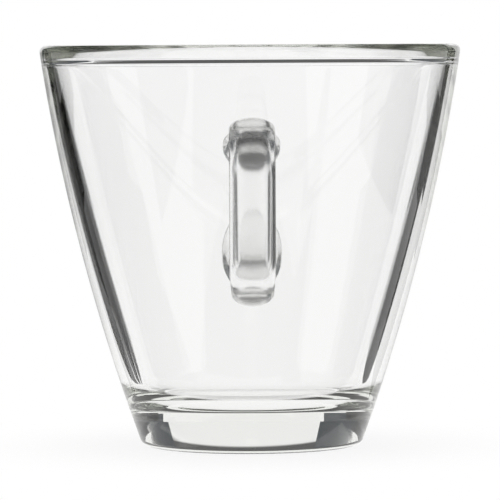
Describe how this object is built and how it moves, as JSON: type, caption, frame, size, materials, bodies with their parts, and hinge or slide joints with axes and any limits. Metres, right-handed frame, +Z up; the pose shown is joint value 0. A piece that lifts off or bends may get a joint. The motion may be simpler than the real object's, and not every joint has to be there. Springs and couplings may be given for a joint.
{
  "type": "coffee glass",
  "caption": "Clear conical pressed-glass coffee mug with a thick solid base and a fused strap handle at the side.",
  "frame": {"origin": "middle of the flat underside, on the axis of the bowl, at the height of the table", "axes": "+Z up along the axis of the bowl to its mouth, -Y from that axis towards the handle, +X to the right when the handle faces the viewer"},
  "size_m": [0.09, 0.1109, 0.086],
  "materials": {
    "bowl_glass": "clear pressed soda-lime glass, fire polished",
    "handle_glass": "clear pressed soda-lime glass, fire polished, with a faint mould seam"
  },
  "bodies": {
    "root": {"bowl": "bowl_glass", "handle": "handle_glass"}
  },
  "joints": []
}
